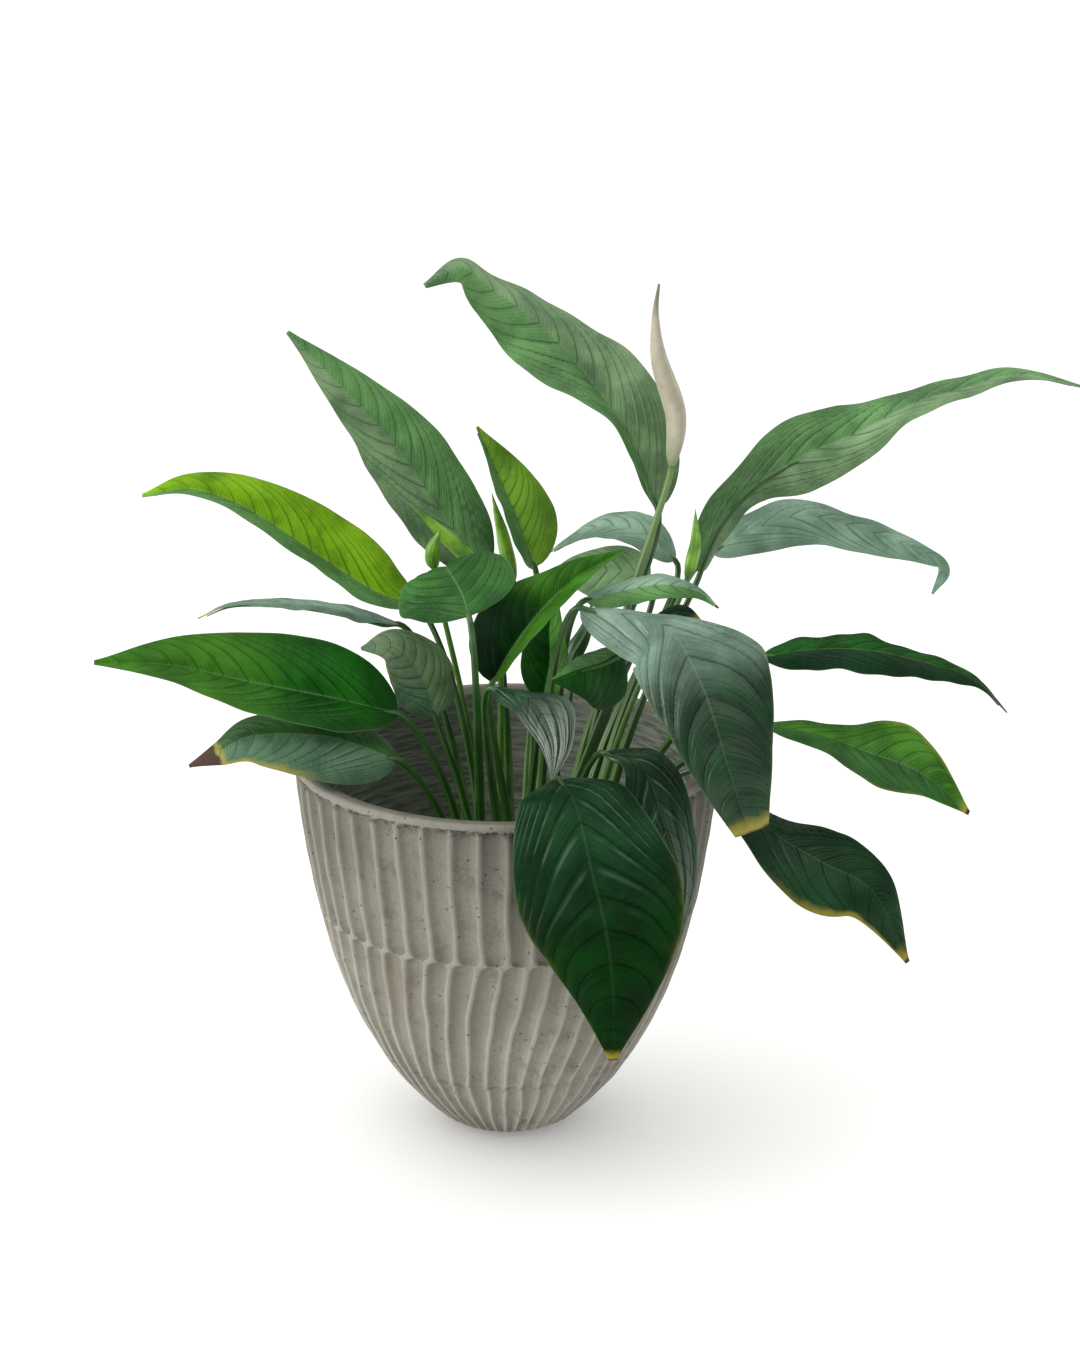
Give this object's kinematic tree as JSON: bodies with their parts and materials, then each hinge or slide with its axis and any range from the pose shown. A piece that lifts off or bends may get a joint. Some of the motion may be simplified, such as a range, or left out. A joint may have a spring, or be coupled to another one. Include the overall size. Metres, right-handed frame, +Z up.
{
  "type": "potted peace lily",
  "caption": "Leafy potted house plant: long-stalked pointed leaves and a closed pale flower bud rise from soil in a tapered cement pot with tiers of carved flutes.",
  "frame": {"origin": "middle of the flat foot of the pot, on the surface it stands on", "axes": "+Z up along the axis of the pot; +X to the right and +Y to the back as seen from the front; the longest leaf reaches out to the right"},
  "size_m": [0.6804, 0.3331, 0.6169],
  "materials": {
    "cement": "dry matte cast cement, pitted, dusty in the flutes",
    "soil": "crumbly dark potting soil",
    "leaf_green": "semi-gloss deep green blade with pressed veins",
    "leaf_lime": "semi-gloss light yellow-green blade",
    "leaf_silver": "satin blue-green blade with silvery veins",
    "leaf_pale": "satin pale grey-green underside",
    "stalk": "smooth green leaf stalk with paler edges",
    "young_leaf": "smooth rolled young leaf",
    "spathe": "soft matte beige flower hood with a dry brown tip",
    "spadix": "small pebbled flower spike"
  },
  "bodies": {
    "root": {"blade_big_front": "leaf_green", "blade_big_front_right": "leaf_silver", "blade_centre_back": "leaf_green", "blade_curled_dark": "leaf_green", "blade_dark_front": "leaf_green", "blade_folded_centre": "leaf_lime", "blade_green_right": "leaf_lime", "blade_hooked_small": "leaf_silver", "blade_inner_right": "leaf_lime", "blade_inner_upright": "leaf_green", "blade_lime_left": "leaf_lime", "blade_long_right": "leaf_silver", "blade_low_left": "leaf_green", "blade_low_right": "leaf_green", "blade_middle_left": "leaf_green", "blade_middle_right": "leaf_green", "blade_pale_back": "leaf_pale", "blade_pale_right": "leaf_pale", "blade_silver_front": "leaf_silver", "blade_thin_left": "leaf_green", "blade_top_back": "leaf_green", "blade_upper_left": "leaf_green", "blade_upright_left": "leaf_green", "blade_veined_left": "leaf_silver", "blade_wide_left": "leaf_lime", "flower_stalk": "stalk", "pot": "cement", "potting_soil": "soil", "spadix": "spadix", "spathe": "spathe", "stalk_big_front": "stalk", "stalk_big_front_right": "stalk", "stalk_centre_back": "stalk", "stalk_curled_dark": "stalk", "stalk_dark_front": "stalk", "stalk_folded_centre": "stalk", "stalk_green_right": "stalk", "stalk_hooked_small": "stalk", "stalk_inner_right": "stalk", "stalk_inner_upright": "stalk", "stalk_lime_left": "stalk", "stalk_long_right": "stalk", "stalk_low_left": "stalk", "stalk_low_right": "stalk", "stalk_middle_left": "stalk", "stalk_middle_right": "stalk", "stalk_pale_back": "stalk", "stalk_pale_right": "stalk", "stalk_silver_front": "stalk", "stalk_thin_left": "stalk", "stalk_top_back": "stalk", "stalk_upper_left": "stalk", "stalk_upright_left": "stalk", "stalk_veined_left": "stalk", "stalk_wide_left": "stalk", "young_centre_leaf": "young_leaf", "young_left_back_leaf": "young_leaf", "young_left_leaf": "young_leaf", "young_middle_leaf": "young_leaf", "young_right_leaf": "young_leaf"}
  },
  "joints": []
}
